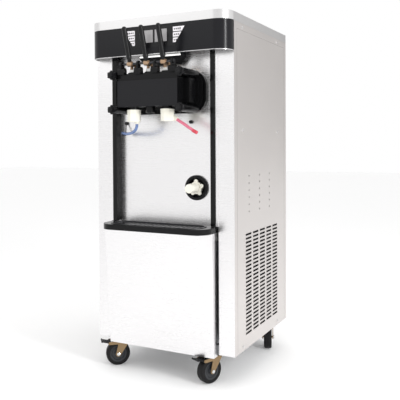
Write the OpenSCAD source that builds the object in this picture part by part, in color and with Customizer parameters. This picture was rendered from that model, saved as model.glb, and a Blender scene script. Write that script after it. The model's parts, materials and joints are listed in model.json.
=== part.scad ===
// Floor-standing soft-serve ice cream maker: steel cabinet on four casters, two
// hoppers under one lid, two freezing cylinders, a dispensing head with three
// draw handles, a lift-out drip tray and a keypad on the bulged front cover.
// Millimetres, +Z up, front towards -Y, origin under the middle of the machine.
// Inside the modules y = 0 is the front face of the pillars; at() moves that
// frame to the part's own origin.

/* [Cabinet] */
// Width over the side panels
body_w = 540; // [500:5:650]
// Depth of the side panels, front to back
body_d = 510; // [470:5:620]
// Height of the cabinet, underside to top face
body_h = 1128; // [1020:2:1360]
// Thickness of the steel sheet
sheet = 1.5; // [1:0.1:2]
// Height of the steel band round the top
band_h = 29; // [24:1:36]
// Width of each front pillar
pillar_w = 57; // [48:1:70]
// How far the centre panel lies behind the pillars
recess_d = 24; // [18:1:34]
// Width of each black guide strip beside the centre panel
strip_w = 17; // [12:1:22]
// Height of the lower front panel
lower_h = 411; // [340:1:490]
// How far the lower front panel stands out at its bottom
lower_out = 24; // [16:1:36]
// How far it stands out at its top
lower_top_out = 86; // [70:1:104]

/* [Front cover and keypad] */
// Height of the black front cover
fascia_h = 96; // [86:1:115]
// How far the front cover bulges in front of the pillars
fascia_out = 52; // [42:1:62]
// Radius of the front corners of the cover and the top band
corner_r = 50; // [30:1:52]
// Thickness of the cover's moulded wall
fascia_wall = 2.5; // [2:0.1:4]
// Travel of a key
key_travel = 1.2; // [0.6:0.1:2]
// Pitch of the three rows of keys
key_pitch = 18; // [16.5:0.5:21]
// Height of one key
key_h = 15; // [12:0.5:16]

/* [Dispensing head] */
// Distance between the outer draw handles and the middle one
draw_pitch = 65; // [56:1:72]
// How far the plungers stand in front of the pillars
plunger_y = 76; // [66:1:84]
// Radius of a plunger's rod
plunger_r = 12; // [9:0.5:14]
// Length of a draw handle from its pivot to its round end
handle_len = 116; // [100:1:150]
// Radius of a draw handle's grip
grip_r = 8.5; // [7:0.5:11]
// Lean of the draw handles away from upright, in degrees
handle_lean = 17; // [8:1:20]
// Radius of the pivot shaft
shaft_r = 4; // [3:0.5:5]
// Radius of the four head studs
stud_r = 4; // [3:0.5:5]
// Half the distance between the studs, left to right
stud_x = 130; // [124:1:136]

/* [Freezing cylinders and hoppers] */
// Inner radius of a freezing cylinder
barrel_r = 44; // [36:1:48]
// Length of a freezing cylinder
barrel_len = 300; // [240:5:340]
// Depth of a hopper basin
hopper_depth = 130; // [90:5:135]

/* [Drip tray] */
// Height of the black rail that holds the drip tray
rail_h = 19; // [14:1:26]
// Depth of the drip tray
tray_depth = 34; // [22:1:44]

/* [Casters] */
// Radius of a caster wheel
wheel_r = 43; // [36:1:46]
// Width of a caster wheel
wheel_w = 30; // [22:1:34]
// Trail of a caster, kingpin to axle
trail = 30; // [22:1:34]
// Radius of a wheel axle
axle_r = 4; // [3:0.5:5]
// Height from the floor to the underside of the cabinet
base_z = 103; // [100:1:125]

/* [Hidden] */
$fn = 64;
half_w = body_w / 2;
top_z = base_z + body_h;
band_z = top_z - band_h;
fascia_z = band_z - fascia_h;
lower_z0 = base_z - 6.5;
lower_z1 = lower_z0 + lower_h;
rail_z = lower_z1 + 0.5;
rail_top = rail_z + rail_h;

// Named clearances
seat_gap = 0.3;
slide_gap = 0.5;
pin_gap = 0.05;
fold_gap = 0.2;

// Front opening between the pillars
pillar_x = half_w - pillar_w;
trim_w = 9.5;
strip_x1 = pillar_x - trim_w - fold_gap;
strip_x0 = strip_x1 - strip_w;
strip_out = 5;
panel_y = recess_d;

// Power cord gland on the rear panel
gland_out = 14;
gland_r = 10;
gland_bore = 4.5;
gland_x = 170;
gland_z = base_z + 62;

// Head: heights are measured down from the front cover
head_z = fascia_z - 131;
head_top = head_z + 62;
block_x = draw_pitch + 50;
block_y = plunger_y + 22;
block_z0 = head_z - 49;
nozzle_z = block_z0 - 21;
plate_t = 3;
flange_x = stud_x + 34;
flange_up = 73;
flange_down = 70;
stud_up = 59;
stud_down = 57;
boss_r = 13;
nozzle_r = 16;
knob_r = 16;
knob_y0 = block_y + 6.5;
knob_len = 20;

// Draw handles
pivot_arm = 22;
pivot_rise = 32;
pivot_y = plunger_y + pivot_arm;
pivot_z = head_top + pivot_rise;
hub_r = 8.5;
lug_r = 9;
collar_r = 14;
toe_h = 13;
pin_slack = 1.5;
tip_y = pivot_y + handle_len * sin(handle_lean);
tip_z = pivot_z + handle_len * cos(handle_lean);
front_reach = tip_y + grip_r;
mid_y = (body_d + gland_out - front_reach) / 2;

// Leak drawer beside the serving space
leak_x = 121;
leak_z = rail_top + 126;
leak_tube_r = 15;
leak_cup_r = 33;
leak_bezel_r = 42.5;
leak_reach = 35;

// Keypad
overlay_t = 0.8;
overlay_top = band_z - 7;
overlay_bottom = fascia_z + 20;
overlay_x = 128;
overlay_slope = 0.66;
key_x = 75;
key_margin = 6;
key_top = band_z - 14;
display_x0 = 3;
display_x1 = 51;
display_top = band_z - 16;
display_h = 43;

// Casters: kingpins in the cabinet's frame, turned by the angle given
front_pin = [182, 40];
rear_pin = [212, 457];
turn_fl = -50;
turn_fr = -25;
turn_rl = 12;
turn_rr = 20;
pin_r = 6;
fork_top = base_z - 8;
fork_t = 3;
fork_x = wheel_w / 2 + 3;
pedal_pin_r = 3;
pedal_y = trail + 31;
pedal_z = base_z - 20;
pedal_len = 28;
pedal_tilt = 14;

// Side grilles
vent_cols = 5;
vent_rows = 26;
vent_y0 = 94;
vent_z0 = base_z + 48;
vent_l = 50;
vent_h = 7;
vent_dy = 65;
vent_dz = 13.5;

// Rows of small round holes in the side panels
side_hole_r = 3;
side_hole_y0 = 125;
side_hole_dy = 98.5;
side_hole_z0 = head_z - 406;
side_hole_dz = 24.4;

// Hoses: points measured from the end of the spout that each one leaves
hose_r = 5;
spout_y = plunger_y - 14;
left_route = [[0, 0, 0], [0, 0, -4], [-1, 0, -10], [-4, 1, -16], [-9, 3, -21],
    [-16, 6, -25], [-24, 10, -28], [-32, 14, -30], [-41, 19, -31], [-50, 24, -32],
    [-59, 30, -32], [-68, 36, -31], [-77, 42, -31], [-86, 48, -30], [-95, 54, -30]];
right_route = [[0, 0, 0], [8, 0, -5], [13, 0, -8], [18, 0, -11], [23, 0, -14],
    [28, 0, -17], [33, 0, -20], [38, 0, -24], [43, 0, -27], [48, 0, -30],
    [53, 0, -33], [58, 0, -36], [63, 0, -39], [68, 0, -42], [72, 0, -44]];
spout_r = 8;
spout_tilt = 122;
spout_len = 19.5;
spout_drop = 7;
cap_z = nozzle_z - 28;
cap_h = 40;
left_exit = [-draw_pitch + 2, -spout_y, cap_z - spout_drop - seat_gap];
right_root = [draw_pitch + 12, -spout_y, cap_z + 15.3];
right_exit = right_root + (spout_len + seat_gap) * [sin(spout_tilt), 0, cos(spout_tilt)];

// Round buttons on the centre panel; the left one carries the hose's wire hook
button_r = 6;
button_z = cap_z - 1;
left_button_x = -draw_pitch - 95;
right_button_x = draw_pitch + 36;
hook_r = 1.5;
hook_point = 13;

// ---- helpers ----

module at() {
    translate([0, -mid_y, 0]) children();
}

module block(a, b) {
    translate(a) cube(b - a);
}

module both_sides() {
    children();
    mirror([1, 0, 0]) children();
}

// A solid drawn as an outline in X and Z, reaching from y0 back to y1
module plate_y(y0, y1) {
    translate([0, y1, 0]) rotate([90, 0, 0]) linear_extrude(y1 - y0) children();
}

// A round bar along Y
module rod_y(x, z, r, y0, y1) {
    translate([x, y1, z]) rotate([90, 0, 0]) cylinder(r = r, h = y1 - y0);
}

// A round bar along X
module rod_x(y, z, r, x0, x1) {
    translate([x0, y, z]) rotate([0, 90, 0]) cylinder(r = r, h = x1 - x0);
}

// Rectangle with round corners
module round_rect(a, b, r) {
    translate([a[0] + r, a[1]]) square([b[0] - a[0] - 2 * r, b[1] - a[1]]);
    translate([a[0], a[1] + r]) square([b[0] - a[0], b[1] - a[1] - 2 * r]);
    for (x = [a[0] + r, b[0] - r], y = [a[1] + r, b[1] - r]) translate([x, y]) circle(r);
}

// Rectangle whose two front corners are round
module round_front(x, y0, y1, r) {
    translate([-x + r, y0]) square([2 * (x - r), y1 - y0]);
    translate([-x, y0 + r]) square([2 * x, y1 - y0 - r]);
    for (s = [-1, 1]) translate([s * (x - r), y0 + r]) circle(r);
}

// Tube swept along a route, one ring of corners to a point
function unit(v) = v / norm(v);
function course(p, i) = unit(p[min(i + 1, len(p) - 1)] - p[max(i - 1, 0)]);
function ring(c, d, r, n) = let (u = unit(cross(d, [0, 1, 0])), w = cross(d, u))
    [for (k = [0 : n - 1]) c + r * (u * cos(360 * k / n) + w * sin(360 * k / n))];
module swept_tube(p, r, n = 10) {
    m = len(p);
    points = [for (i = [0 : m - 1]) each ring(p[i], course(p, i), r, n)];
    sides = [for (i = [0 : m - 2], k = [0 : n - 1])
        [i * n + k, i * n + (k + 1) % n, (i + 1) * n + (k + 1) % n, (i + 1) * n + k]];
    first = [for (k = [n - 1 : -1 : 0]) k];
    last = [for (k = [0 : n - 1]) (m - 1) * n + k];
    polyhedron(points, concat(sides, [first, last]));
}

// ---- cabinet ----

frame_x = half_w - sheet - 0.5;
frame_y0 = 5;
frame_y1 = body_d - sheet - 2;
angle_w = 25;
angle_t = 2.5;
rim_h = 30;

mid_rail_z = base_z + 744;
screw_r = 2.2;
screw_head_r = 5;
screw_head_h = 1.8;
screw_len = 10;
screw_front = 70;
screw_rear = 409;
screw_rows = [base_z + rim_h / 2, mid_rail_z, band_z - 1 - angle_w / 2];

// Front left corner angle, standing on the floor tray
module post() {
    h = band_z - base_z - angle_t - 1;
    translate([-frame_x, frame_y0, base_z + angle_t]) {
        block([0, 0, 0], [angle_w, angle_t, h]);
        block([0, 0, 0], [angle_t, angle_w, h]);
    }
}

module side_rail(z0, z1) {
    block([-frame_x, frame_y0, z0], [-frame_x + angle_t, frame_y1, z1]);
}

// Places of the panel screws on one side, as children of each place
module screw_places() {
    for (z = screw_rows, y = [screw_front, screw_rear]) translate([0, y, z]) children();
}

module kingpin_plate(p) {
    translate([p[0], p[1], 0]) {
        block([-34, -30, base_z - 5], [34, 34, base_z + 0.1]);
        translate([0, 0, fork_top - 11]) cylinder(r = pin_r, h = 11 + 4);
        translate([0, 0, fork_top - 13]) cylinder(r = pin_r + 3, h = 2.5);
    }
}

module frame() {
    color("dimgray") at() {
        difference() {
            union() {
                block([-frame_x, frame_y0, base_z], [frame_x, frame_y1, base_z + rim_h]);
                both_sides() {
                    side_rail(band_z - 1 - angle_w, band_z - 1);
                    side_rail(mid_rail_z - angle_w / 2, mid_rail_z + angle_w / 2);
                }
            }
            block([-frame_x + angle_t, frame_y0 + angle_t, base_z + angle_t],
                [frame_x - angle_t, frame_y1 - angle_t, base_z + rim_h + 1]);
            block([-160, 60, base_z - 1], [160, 150, base_z + angle_t + 1]);
            both_sides() screw_places()
                rod_x(0, 0, screw_r + pin_gap, frame_x - angle_t - 1, frame_x + 1);
        }
        both_sides() {
            post();
            translate([0, frame_y0 + frame_y1, 0]) mirror([0, 1, 0]) post();
        }
        block([-frame_x, frame_y1 - angle_t, band_z - 1 - angle_w],
            [frame_x, frame_y1, band_z - 1]);
        both_sides() {
            kingpin_plate(front_pin);
            kingpin_plate(rear_pin);
        }
    }
}

// Right-hand side panel: a sheet with folded front and rear flanges, a grille of
// slots low down and rows of small holes above it
module side_panel() {
    y0 = sheet + fold_gap;
    flange = 16;
    difference() {
        union() {
            block([half_w - sheet, y0, base_z], [half_w, body_d, band_z - fold_gap]);
            block([half_w - flange, y0, base_z], [half_w, y0 + sheet, band_z - fold_gap]);
        }
        for (c = [0 : vent_cols - 1], r = [0 : vent_rows - 1])
            translate([half_w - 4, vent_y0 + c * vent_dy, vent_z0 + r * vent_dz])
                cube([8, vent_l, vent_h]);
        for (c = [0 : 2], r = [0 : 5])
            rod_x(side_hole_y0 + c * side_hole_dy, side_hole_z0 + r * side_hole_dz,
                side_hole_r, half_w - 4, half_w + 4);
        screw_places() rod_x(0, 0, screw_r + 0.2, half_w - 4, half_w + 4);
    }
}

module left_side_panel() {
    color("silver") at() mirror([1, 0, 0]) side_panel();
}

module right_side_panel() {
    color("silver") at() side_panel();
}

module rear_panel() {
    x = half_w - sheet - seat_gap;
    color("silver") at() difference() {
        block([-x, body_d - sheet, base_z], [x, body_d, band_z - fold_gap]);
        for (c = [0 : 4], r = [0 : 15])
            translate([-147 + c * 62, body_d - 4, base_z + 300 + r * 16]) cube([46, 8, 6]);
        rod_y(gland_x, gland_z, gland_r + pin_gap, body_d - 5, body_d + 5);
    }
}

// Each pillar is a folded sheet: broad front face, return beside the opening,
// and a narrow step that frames the serving space
module front_pillars() {
    return_z = base_z + rim_h + fold_gap;
    color("gainsboro") at() both_sides() {
        block([pillar_x, 0, base_z], [half_w, sheet, fascia_z - fold_gap]);
        block([pillar_x, 0, return_z], [pillar_x + sheet, panel_y - seat_gap, fascia_z - fold_gap]);
        block([half_w - 20, 0, fascia_z - 10], [half_w - 3, sheet, band_z - 2]);
        block([strip_x1 + fold_gap, -2, rail_top + 1], [pillar_x + 0.1, 0.5, fascia_z - fold_gap]);
    }
}

module guide_strips() {
    color("black") at() both_sides()
        block([strip_x0, -strip_out, rail_top + 1],
            [strip_x1, panel_y - seat_gap, fascia_z - seat_gap]);
}

module centre_panel() {
    x = pillar_x - 1;
    color("whitesmoke") at() difference() {
        block([-x, panel_y, lower_z1 - 30], [x, panel_y + sheet, band_z - 2]);
        for (s = [-1, 1]) rod_y(s * draw_pitch, head_z, barrel_r + 3, panel_y - 5, panel_y + 5);
        for (s = [-1, 1], z = [head_z + stud_up, head_z - stud_down])
            rod_y(s * stud_x, z, stud_r + 1, panel_y - 5, panel_y + 5);
        rod_y(leak_x, leak_z, leak_cup_r + 2 + seat_gap, panel_y - 5, panel_y + 5);
    }
}

// Solid under the sloping front panel; the corners are cut by a long triangle
module wedge(x, y_back, y_foot, y_side, y_crease, cut, z0, z1) {
    polyhedron([
        [-x, y_back, z0], [x, y_back, z0], [x, -y_foot, z0], [-x, -y_foot, z0],
        [-x, y_back, z1], [x, y_back, z1], [x, -y_side, z1],
        [x - cut, -y_crease, z1], [cut - x, -y_crease, z1], [-x, -y_side, z1]],
        [[3, 2, 1, 0], [4, 5, 6, 7, 8, 9], [1, 5, 4, 0], [2, 6, 5, 1],
        [0, 4, 9, 3], [3, 8, 7, 2], [2, 7, 6], [3, 9, 8]]);
}

module lower_panel() {
    x = pillar_x - 8;
    color("gainsboro") at() difference() {
        wedge(x, 3, lower_out, lower_out + 9, lower_top_out, 24, lower_z0, lower_z1);
        wedge(x - sheet, 4, lower_out - sheet, lower_out + 9 - sheet, lower_top_out - sheet,
            24, lower_z0 + sheet, lower_z1 + 0.01);
    }
}

// ---- top ----

lid_x = half_w - 66;
lid_y0 = 62;
lid_y1 = body_d - 72;
ledge = 8;
ledge_z = top_z - 19;

module top_surround() {
    color("gainsboro") at() difference() {
        translate([0, 0, band_z]) linear_extrude(band_h)
            round_front(half_w, -fascia_out, body_d, corner_r);
        translate([0, 0, band_z - 1]) linear_extrude(band_h + 1 - sheet)
            difference() {
                round_front(half_w - sheet, -fascia_out + sheet, body_d - sheet, corner_r - sheet);
                translate([-lid_x - sheet, lid_y0 - sheet])
                    square([2 * (lid_x + sheet), lid_y1 - lid_y0 + 2 * sheet]);
            }
        block([-lid_x, lid_y0, ledge_z], [lid_x, lid_y1, top_z + 1]);
        block([-lid_x + ledge, lid_y0 + ledge, band_z - 1],
            [lid_x - ledge, lid_y1 - ledge, top_z + 1]);
        block([-lid_x - 5, lid_y0 - 5, band_z - 1], [lid_x + 5, lid_y1 + 5, ledge_z - sheet]);
    }
}

module hoppers() {
    x0 = 5;
    x1 = lid_x - ledge - slide_gap - 1;
    y0 = lid_y0 + ledge + slide_gap + 1;
    y1 = lid_y1 - ledge - slide_gap - 1;
    rim_z = ledge_z + seat_gap;
    floor_z = rim_z - hopper_depth;
    color("lightgray") at() both_sides() difference() {
        union() {
            translate([0, 0, floor_z]) linear_extrude(hopper_depth)
                round_rect([x0, y0], [x1, y1], 25);
            block([1, lid_y0 + 2, rim_z], [lid_x - 2, lid_y1 - 2, rim_z + sheet]);
            translate([draw_pitch, y0 + 60, floor_z - 24]) cylinder(r = 14, h = 24 + sheet);
        }
        translate([0, 0, floor_z + sheet]) linear_extrude(hopper_depth + 10)
            round_rect([x0 + sheet, y0 + sheet], [x1 - sheet, y1 - sheet], 25 - sheet);
        translate([draw_pitch, y0 + 60, floor_z - 30]) cylinder(r = 11, h = 60);
    }
}

module hopper_lid() {
    x = lid_x - slide_gap;
    y0 = lid_y0 + slide_gap;
    y1 = lid_y1 - slide_gap;
    z0 = ledge_z + seat_gap + sheet + 0.2;
    z1 = top_z - 0.5;
    color("gainsboro") at() difference() {
        block([-x, y0, z0], [x, y1, z1]);
        block([-x + sheet, y0 + sheet, z0 - 1], [x - sheet, y1 - sheet, z1 - sheet]);
        for (s = [-1, 1]) translate([s * 100, y0 + 50, z1 - 9]) linear_extrude(20)
            round_rect([-45, -12], [45, 12], 11.5);
    }
    color("gainsboro") at() for (s = [-1, 1]) translate([s * 100, y0 + 50, 0])
        difference() {
            translate([0, 0, z1 - 10]) linear_extrude(10 - 0.6)
                round_rect([-46.5, -13.5], [46.5, 13.5], 13);
            translate([0, 0, z1 - 10 + sheet]) linear_extrude(20)
                round_rect([-45, -12], [45, 12], 11.5);
        }
}

// ---- front cover ----

module fascia() {
    z0 = fascia_z;
    z1 = band_z - seat_gap;
    color("#2f2f33") at() difference() {
        union() {
            difference() {
                translate([0, 0, z0]) linear_extrude(z1 - z0)
                    round_front(half_w - 0.5, -fascia_out, 60, corner_r - 0.5);
                translate([0, 0, z0 + fascia_wall]) linear_extrude(z1 - z0)
                    round_front(half_w - 0.5 - fascia_wall, -fascia_out + fascia_wall, 70,
                        corner_r - 0.5 - fascia_wall);
                block([-half_w, -seat_gap, z0 - 1], [half_w, 100, z1 + 1]);
            }
            block([-strip_x0 + 1, -1, z0], [strip_x0 - 1, panel_y - seat_gap, z0 + fascia_wall]);
        }
        for (s = [-1, 1]) translate([s * (display_x0 + display_x1) / 2, 0, 0])
            block([-22, -fascia_out - 1, display_top - display_h + 3],
                [22, -fascia_out + fascia_wall + 1, display_top - 3]);
        for (s = [0, 1], row = [0 : 2]) mirror([s, 0, 0]) plate_y(-fascia_out - 1, 0)
            key_outline(row, seat_gap);
    }
}

function key_z1(row) = key_top - row * key_pitch;
function overlay_edge(z) = overlay_x - (overlay_top - z) * overlay_slope;

// Outline of one right-hand key, grown by g for its hole
module key_outline(row, g = 0) {
    z1 = key_z1(row) + g;
    z0 = z1 - key_h - 2 * g;
    polygon([[key_x - g, z0], [overlay_edge(z0) - key_margin + g, z0],
        [overlay_edge(z1) - key_margin + g, z1], [key_x - g, z1]]);
}

module control_overlay() {
    color("#18181a") at() plate_y(-fascia_out - overlay_t, -fascia_out) difference() {
        polygon([[-overlay_edge(overlay_bottom), overlay_bottom],
            [overlay_edge(overlay_bottom), overlay_bottom],
            [overlay_edge(overlay_top), overlay_top], [-overlay_edge(overlay_top), overlay_top]]);
        for (s = [0, 1]) mirror([s, 0]) {
            translate([display_x0, display_top - display_h])
                square([display_x1 - display_x0, display_h]);
            for (row = [0 : 2]) key_outline(row, seat_gap);
        }
    }
}

module key(side, row) {
    color("white") at() mirror([side, 0, 0])
        plate_y(-fascia_out - overlay_t - key_travel - 0.4, -fascia_out + fascia_wall)
            key_outline(row);
}

module key_left_top() { key(1, 0); }
module key_left_middle() { key(1, 1); }
module key_left_bottom() { key(1, 2); }
module key_right_top() { key(0, 0); }
module key_right_middle() { key(0, 1); }
module key_right_bottom() { key(0, 2); }

module lamp_housing() {
    z1 = fascia_z - seat_gap;
    z0 = z1 - 31;
    color("black") at() plate_y(-14, panel_y - 0.1)
        polygon([[-63, z0], [63, z0], [83, z1 - 6], [83, z1], [-83, z1], [-83, z1 - 6]]);
}

// ---- dispensing head ----

function draw_x(i) = (i - 1) * draw_pitch;

module head_rib(x, up, down, r, y0, y1) {
    plate_y(y0, y1) round_rect([-x, head_z - down], [x, head_z + up], r);
}

// Lug that carries the pivot shaft, on a broad low hump
module lug(x) {
    w = 7;
    hump_w = draw_pitch - 2 * collar_r - 11;
    hump_z = head_top + 11;
    rod_x(-pivot_y, pivot_z, lug_r, x - w / 2, x + w / 2);
    block([x - w / 2, -pivot_y - lug_r, head_top - 3], [x + w / 2, -pivot_y + lug_r, pivot_z]);
    rod_x(-pivot_y, hump_z, lug_r, x - hump_w / 2, x + hump_w / 2);
    block([x - hump_w / 2, -pivot_y - lug_r, head_top - 3],
        [x + hump_w / 2, -pivot_y + lug_r, hump_z]);
}

module dispensing_head() {
    color("#141416") at() difference() {
        union() {
            head_rib(flange_x, flange_up, flange_down, 52, 10, panel_y - 0.1);
            head_rib(flange_x - 9, flange_up - 4, flange_down - 4, 46, -2, 12);
            head_rib(flange_x - 18, flange_up - 8, flange_down - 8, 40, -14, 0);
            head_rib(flange_x - 27, flange_up - 12, flange_down - 12, 34, -26, -12);
            block([-block_x - 22, -58, head_z - 38], [block_x + 22, -20, head_z + 42]);
            block([-block_x, -block_y, block_z0], [block_x, -20, head_top]);
            for (s = [-1, 1], z = [head_z + stud_up, head_z - stud_down])
                rod_y(s * stud_x, z, boss_r, -knob_y0 + seat_gap, 0);
            for (i = [0 : 2]) {
                translate([draw_x(i), -plunger_y, nozzle_z])
                    cylinder(r = nozzle_r, h = block_z0 - nozzle_z + 1);
                translate([draw_x(i), -plunger_y, head_top - 1]) cylinder(r = 19, h = 5);
            }
            for (i = [-1.5, -0.5, 0.5, 1.5]) lug(i * draw_pitch);
        }
        for (i = [0 : 2]) translate([draw_x(i), -plunger_y, nozzle_z - 1])
            cylinder(r = plunger_r + 0.1, h = 200);
        for (s = [-1, 1]) rod_y(s * draw_pitch, head_z, 11, -plunger_y, panel_y + 1);
        for (s = [-1, 1], z = [head_z + stud_up, head_z - stud_down])
            rod_y(s * stud_x, z, stud_r + 0.3, -knob_y0 - 1, panel_y + 1);
        rod_x(-pivot_y, pivot_z, shaft_r + pin_gap, -2 * draw_pitch, 2 * draw_pitch);
    }
}

module face_plate() {
    color("#3a3a3e") at() plate_y(-block_y - plate_t, -block_y)
        round_rect([-block_x, block_z0], [block_x, head_z + 39], 3);
}

module star_knob(sx, z) {
    color("black") at() difference() {
        union() {
            plate_y(-knob_y0 - 12, -knob_y0) translate([sx * stud_x, z]) {
                circle(12.5);
                for (k = [0 : 5]) rotate(60 * k + 30) translate([knob_r - 4, 0]) circle(4);
            }
            rod_y(sx * stud_x, z, 9, -knob_y0 - knob_len, -knob_y0 - 10);
        }
        rod_y(sx * stud_x, z, stud_r + pin_gap, -knob_y0 - 15, -knob_y0 + 1);
    }
}

module star_knob_upper_left() { star_knob(-1, head_z + stud_up); }
module star_knob_upper_right() { star_knob(1, head_z + stud_up); }
module star_knob_lower_left() { star_knob(-1, head_z - stud_down); }
module star_knob_lower_right() { star_knob(1, head_z - stud_down); }

// Plunger: rod, white collar and two ears that carry the cross pin
ear_gap = 11;
ear_t = 3.5;
cross_r = 2.5;
module plunger(i) {
    collar_z = head_top + 5;
    color("white") at() translate([draw_x(i), -plunger_y, 0]) {
        translate([0, 0, nozzle_z + 2]) cylinder(r = plunger_r, h = collar_z - nozzle_z);
        translate([0, 0, collar_z]) cylinder(r = collar_r, h = 9);
        for (s = [-1, 1]) translate([s * (ear_gap + ear_t) / 2, 0, 0])
            block([-ear_t / 2, -6, collar_z + 8], [ear_t / 2, 6, pivot_z + 6]);
        rod_x(0, pivot_z, cross_r, -ear_gap / 2 - ear_t, ear_gap / 2 + ear_t);
    }
}

module left_plunger() { plunger(0); }
module middle_plunger() { plunger(1); }
module right_plunger() { plunger(2); }

// Quarter circle from the side of a round bar, at height z, up to its axis
function dome(r, z, n = 8) = [for (k = [0 : n]) [r * cos(90 * k / n), z + r * sin(90 * k / n)]];

// Draw handle: hub on the pivot shaft, slotted toe round the plunger's pin,
// and a long straight grip with a round end
module draw_handle(i) {
    hub_w = 12;
    grip_z0 = 20;
    toe_w = ear_gap - 2;
    color("#101012") at() translate([draw_x(i), -pivot_y, pivot_z]) difference() {
        union() {
            rod_x(0, 0, hub_r, -hub_w / 2, hub_w / 2);
            block([-toe_w / 2, 0, -toe_h / 2], [toe_w / 2, pivot_arm + 6, toe_h / 2]);
            rotate([handle_lean, 0, 0]) {
                block([-hub_w / 2 + 0.5, -4, 4], [hub_w / 2 - 0.5, 4, grip_z0 + 4]);
                rotate_extrude() polygon(concat([[0, grip_z0], [grip_r, grip_z0]],
                    dome(grip_r, handle_len)));
            }
        }
        rod_x(0, 0, shaft_r + pin_gap, -20, 20);
        block([-10, pivot_arm - 5, -cross_r - pin_slack],
            [10, pivot_arm + 20, cross_r + pin_slack]);
    }
}

module left_handle() { draw_handle(0); }
module middle_handle() { draw_handle(1); }
module right_handle() { draw_handle(2); }

module lever_shaft() {
    x = 1.5 * draw_pitch + 3.5;
    color("silver") at() {
        rod_x(-pivot_y, pivot_z, shaft_r, -x - 3, x + 3);
        both_sides() rod_x(-pivot_y, pivot_z, shaft_r + 2.5, x + seat_gap, x + 4);
    }
}

// Faceted white caps under the outer outlets, each with a side spout
module spout_fittings() {
    color("ivory") at() for (s = [-1, 1]) difference() {
        union() {
            translate([s * draw_pitch, -plunger_y, cap_z]) cylinder(r = 23, h = cap_h, $fn = 8);
            if (s < 0) translate([left_exit[0], -spout_y, cap_z - spout_drop])
                cylinder(r = spout_r, h = spout_drop + 5);
            else translate(right_root) rotate([0, spout_tilt, 0])
                cylinder(r = spout_r, h = spout_len);
        }
        translate([s * draw_pitch, -plunger_y, nozzle_z - seat_gap])
            cylinder(r = nozzle_r + 0.2, h = cap_h);
        translate([s * draw_pitch, -plunger_y, cap_z + 3]) cylinder(r = plunger_r, h = 30);
    }
}

module left_hose() {
    color("steelblue") at() swept_tube([for (p = left_route) left_exit + p], hose_r);
}

module right_hose() {
    color("hotpink") at() swept_tube([for (p = right_route) right_exit + p], hose_r);
}

// Round button standing on the centre panel, its dome towards the front
module button(x) {
    translate([x, panel_y - 0.1, button_z]) rotate([90, 0, 0]) rotate_extrude()
        polygon(concat([[0, 0], [button_r, 0]], dome(button_r, button_r)));
}

// Straight round wire from one point to another
module wire(a, b) {
    d = b - a;
    translate(a) rotate([0, acos(d[2] / norm(d)), atan2(d[1], d[0])])
        cylinder(r = hook_r, h = norm(d));
}

// The wire hook comes down behind the left hose, passes under it and turns up
module hose_hooks() {
    held = left_exit + left_route[hook_point];
    under = held[2] - hose_r - seat_gap - hook_r - 0.2;
    back_y = held[1] + 2 * hose_r + 2;
    front_y = held[1] - 2 * hose_r;
    root = [left_button_x, panel_y - button_r, button_z];
    back = [held[0], back_y, under];
    front = [held[0], front_y, under];
    color("black") at() {
        button(left_button_x);
        button(right_button_x);
        wire(root, back);
        wire(back, front);
        wire(front, [held[0], front_y, held[2]]);
        for (p = [back, front]) translate(p) sphere(r = hook_r + 0.2);
    }
}

// ---- leak drawer ----

module leak_bezel() {
    color("#1c1c1e") at() difference() {
        union() {
            rod_y(leak_x, leak_z, leak_bezel_r, panel_y - 7, panel_y - 0.1);
            rod_y(leak_x, leak_z, leak_cup_r + 2, panel_y - 1, panel_y + 22);
        }
        rod_y(leak_x, leak_z, leak_cup_r, panel_y - 8, panel_y + 20);
        rod_y(leak_x, leak_z, leak_tube_r + slide_gap, panel_y, panel_y + 30);
    }
}

module leak_drawer() {
    color("ivory") at() {
        difference() {
            rod_y(leak_x, leak_z, leak_tube_r, -leak_reach, panel_y + 160);
            rod_y(leak_x, leak_z, leak_tube_r - 2.5, -leak_reach + 4, panel_y + 156);
            block([leak_x - 8, panel_y + 40, leak_z], [leak_x + 8, panel_y + 150, leak_z + 20]);
        }
        plate_y(panel_y - 8, panel_y - 4) translate([leak_x, leak_z]) difference() {
            union() {
                circle(21);
                for (k = [0 : 4]) rotate(72 * k + 18) translate([22, 0]) circle(7);
            }
            circle(leak_tube_r - 1);
        }
    }
}

// ---- drip tray ----

rail_x = pillar_x - 6;
rail_out = lower_top_out + 6;
well_x = strip_x0 - 12;
well_y0 = -rail_out + 14;
well_y1 = 8;
grid_pitch = 17;

module drip_rail() {
    color("#18181a") at() translate([0, 0, rail_z]) linear_extrude(rail_h) difference() {
        union() {
            round_front(rail_x, -rail_out, -strip_out - seat_gap, 50);
            translate([-strip_x0 + seat_gap, -strip_out - 1])
                square([2 * (strip_x0 - seat_gap), panel_y + strip_out + 1 - seat_gap]);
        }
        round_rect([-well_x, well_y0], [well_x, well_y1], 36);
    }
}

module drip_tray() {
    z1 = rail_top + seat_gap;
    g = slide_gap;
    color("darkgray") at() difference() {
        union() {
            translate([0, 0, z1 - tray_depth]) linear_extrude(tray_depth)
                round_rect([-well_x + g, well_y0 + g], [well_x - g, well_y1 - g], 36 - g);
            translate([0, 0, z1]) linear_extrude(1.5)
                round_rect([-well_x - 4, well_y0 - 4], [well_x + 4, well_y1 + 4], 40);
        }
        translate([0, 0, z1 - tray_depth + sheet]) linear_extrude(tray_depth + 10)
            round_rect([-well_x + g + sheet, well_y0 + g + sheet],
                [well_x - g - sheet, well_y1 - g - sheet], 36 - g - sheet);
    }
}

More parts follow.
